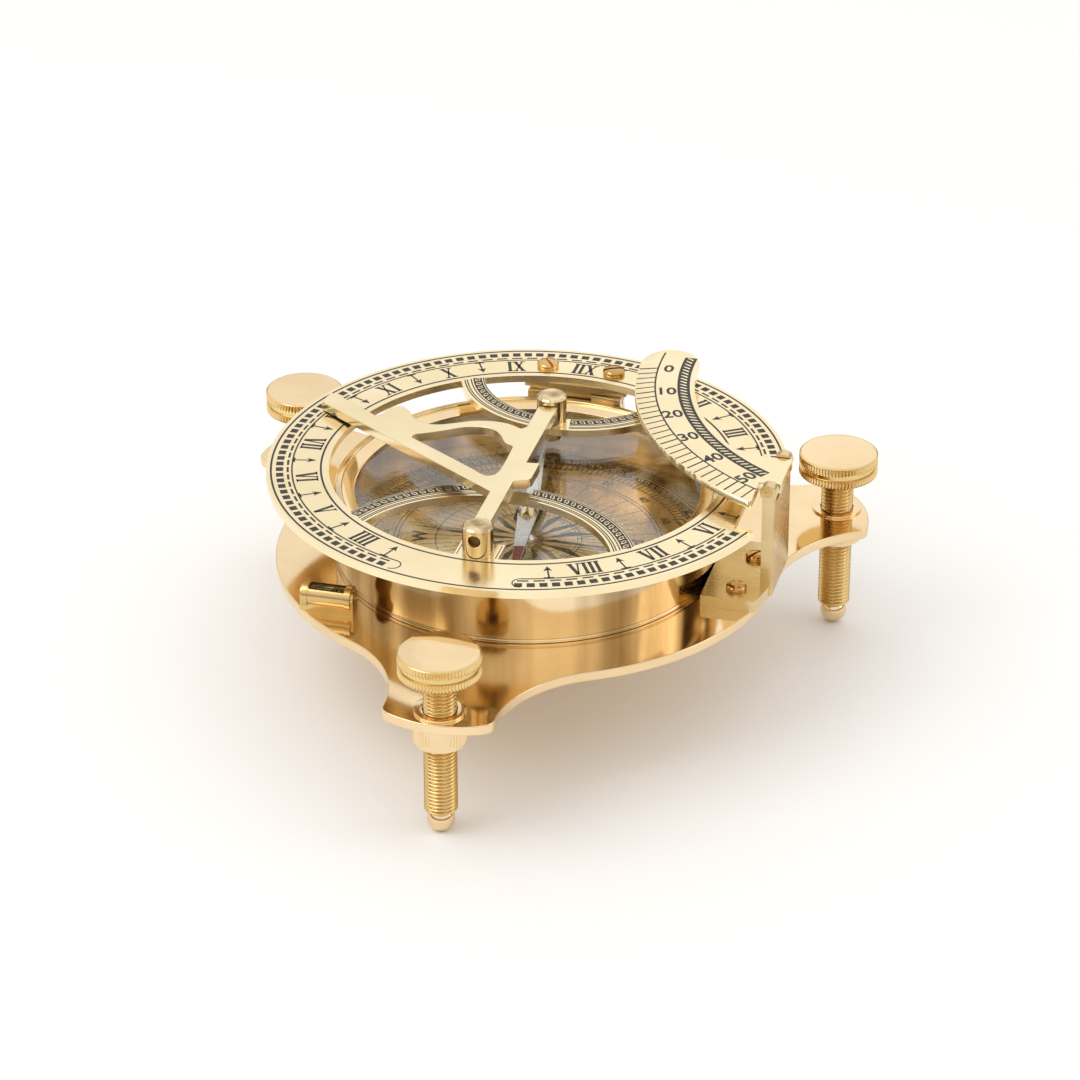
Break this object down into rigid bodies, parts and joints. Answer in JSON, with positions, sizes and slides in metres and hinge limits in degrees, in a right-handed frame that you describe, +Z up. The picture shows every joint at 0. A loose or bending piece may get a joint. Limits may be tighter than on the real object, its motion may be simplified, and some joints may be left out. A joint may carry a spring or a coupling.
{
  "type": "sundial compass",
  "caption": "Folding pocket sundial over a glazed compass bowl, on an eared plate with levelling screws, hour ring, pierced gnomon and latitude arc.",
  "frame": {"origin": "on the compass axis, in the plane the three ball feet stand on", "axes": "+Z up, +Y towards the ring hinge (the XII side), +X towards the latitude arc bracket"},
  "size_m": [0.158, 0.1532, 0.063],
  "materials": {
    "polished_brass": "polished",
    "engraved_brass": "satin, black-filled engraving",
    "brushed_brass": "brushed",
    "screw_brass": "polished",
    "thread_brass": "satin",
    "needle_steel": "satin, one half of an arm red",
    "pin_steel": "satin",
    "clear_glass": "clear",
    "vial_glass": "clear, tinted fluid"
  },
  "bodies": {
    "base": {"arc_bracket": "brushed_brass", "arc_bracket_screws": "screw_brass", "arc_hinge_pin": "pin_steel", "base_plate": "polished_brass", "bowl_screws": "screw_brass", "bush_front": "polished_brass", "bush_left": "polished_brass", "bush_right": "polished_brass", "compass_bowl": "polished_brass", "compass_card": "engraved_brass", "cover_glass": "clear_glass", "glass_bezel": "polished_brass", "level_holder_south": "polished_brass", "level_holder_west": "polished_brass", "level_screws": "screw_brass", "level_vial_south": "vial_glass", "level_vial_west": "vial_glass", "needle_pivot": "pin_steel", "ring_hinge_bracket": "brushed_brass", "ring_hinge_bracket_screws": "screw_brass", "ring_hinge_pin": "pin_steel"},
    "hour_ring": {"hour_ring": "engraved_brass", "ring_hinge_leaf": "polished_brass", "ring_hinge_screws": "screw_brass", "gnomon_post_north": "polished_brass", "gnomon_post_south": "polished_brass", "gnomon_pivot_pins": "polished_brass"},
    "gnomon": {"gnomon_frame": "polished_brass"},
    "latitude_arc": {"latitude_arc": "engraved_brass"},
    "needle": {"compass_needle": "needle_steel", "needle_cap": "polished_brass"},
    "foot_front": {"foot_ball_front": "polished_brass"},
    "screw_front": {"levelling_screw_front": "thread_brass", "screw_knob_front": "polished_brass"},
    "foot_right": {"foot_ball_right": "polished_brass"},
    "screw_right": {"levelling_screw_right": "thread_brass", "screw_knob_right": "polished_brass"},
    "foot_left": {"foot_ball_left": "polished_brass"},
    "screw_left": {"levelling_screw_left": "thread_brass", "screw_knob_left": "polished_brass"}
  },
  "joints": [
    {"name": "ring_tilt", "type": "hinge", "parent": "base", "child": "hour_ring", "pos_m": [0, 0.0493, 0.0502], "axis": [-1, 0, 0], "range_deg": [0, 2.6]},
    {"name": "gnomon_fold", "type": "hinge", "parent": "hour_ring", "child": "gnomon", "pos_m": [0, 0, 0.0602], "axis": [0, 1, 0], "range_deg": [0, 93]},
    {"name": "arc_fold", "type": "hinge", "parent": "base", "child": "latitude_arc", "pos_m": [0.06135, 0, 0.0599], "axis": [0, 1, 0], "range_deg": [0, 90]},
    {"name": "needle_spin", "type": "hinge", "parent": "base", "child": "needle", "pos_m": [0, 0, 0.041], "axis": [0, 0, 1], "continuous": true},
    {"name": "foot_front_rise", "type": "slide", "parent": "base", "child": "foot_front", "axis": [0, 0, 1], "range_m": [-0.00293, 0.00293]},
    {"name": "screw_front_turn", "type": "hinge", "parent": "foot_front", "child": "screw_front", "pos_m": [0, -0.08, 0.02], "axis": [0, 0, 1], "range_deg": [-1080, 1080]},
    {"name": "foot_right_rise", "type": "slide", "parent": "base", "child": "foot_right", "axis": [0, 0, 1], "range_m": [-0.00293, 0.00293]},
    {"name": "screw_right_turn", "type": "hinge", "parent": "foot_right", "child": "screw_right", "pos_m": [0.06928, 0.04, 0.02], "axis": [0, 0, 1], "range_deg": [-1080, 1080]},
    {"name": "foot_left_rise", "type": "slide", "parent": "base", "child": "foot_left", "axis": [0, 0, 1], "range_m": [-0.00293, 0.00293]},
    {"name": "screw_left_turn", "type": "hinge", "parent": "foot_left", "child": "screw_left", "pos_m": [-0.06928, 0.04, 0.02], "axis": [0, 0, 1], "range_deg": [-1080, 1080]}
  ],
  "couplings": [
    {"joint": "screw_front_turn", "follows": "foot_front_rise", "rad_per_m": 6431.1},
    {"joint": "screw_right_turn", "follows": "foot_right_rise", "rad_per_m": 6431.1},
    {"joint": "screw_left_turn", "follows": "foot_left_rise", "rad_per_m": 6431.1}
  ]
}
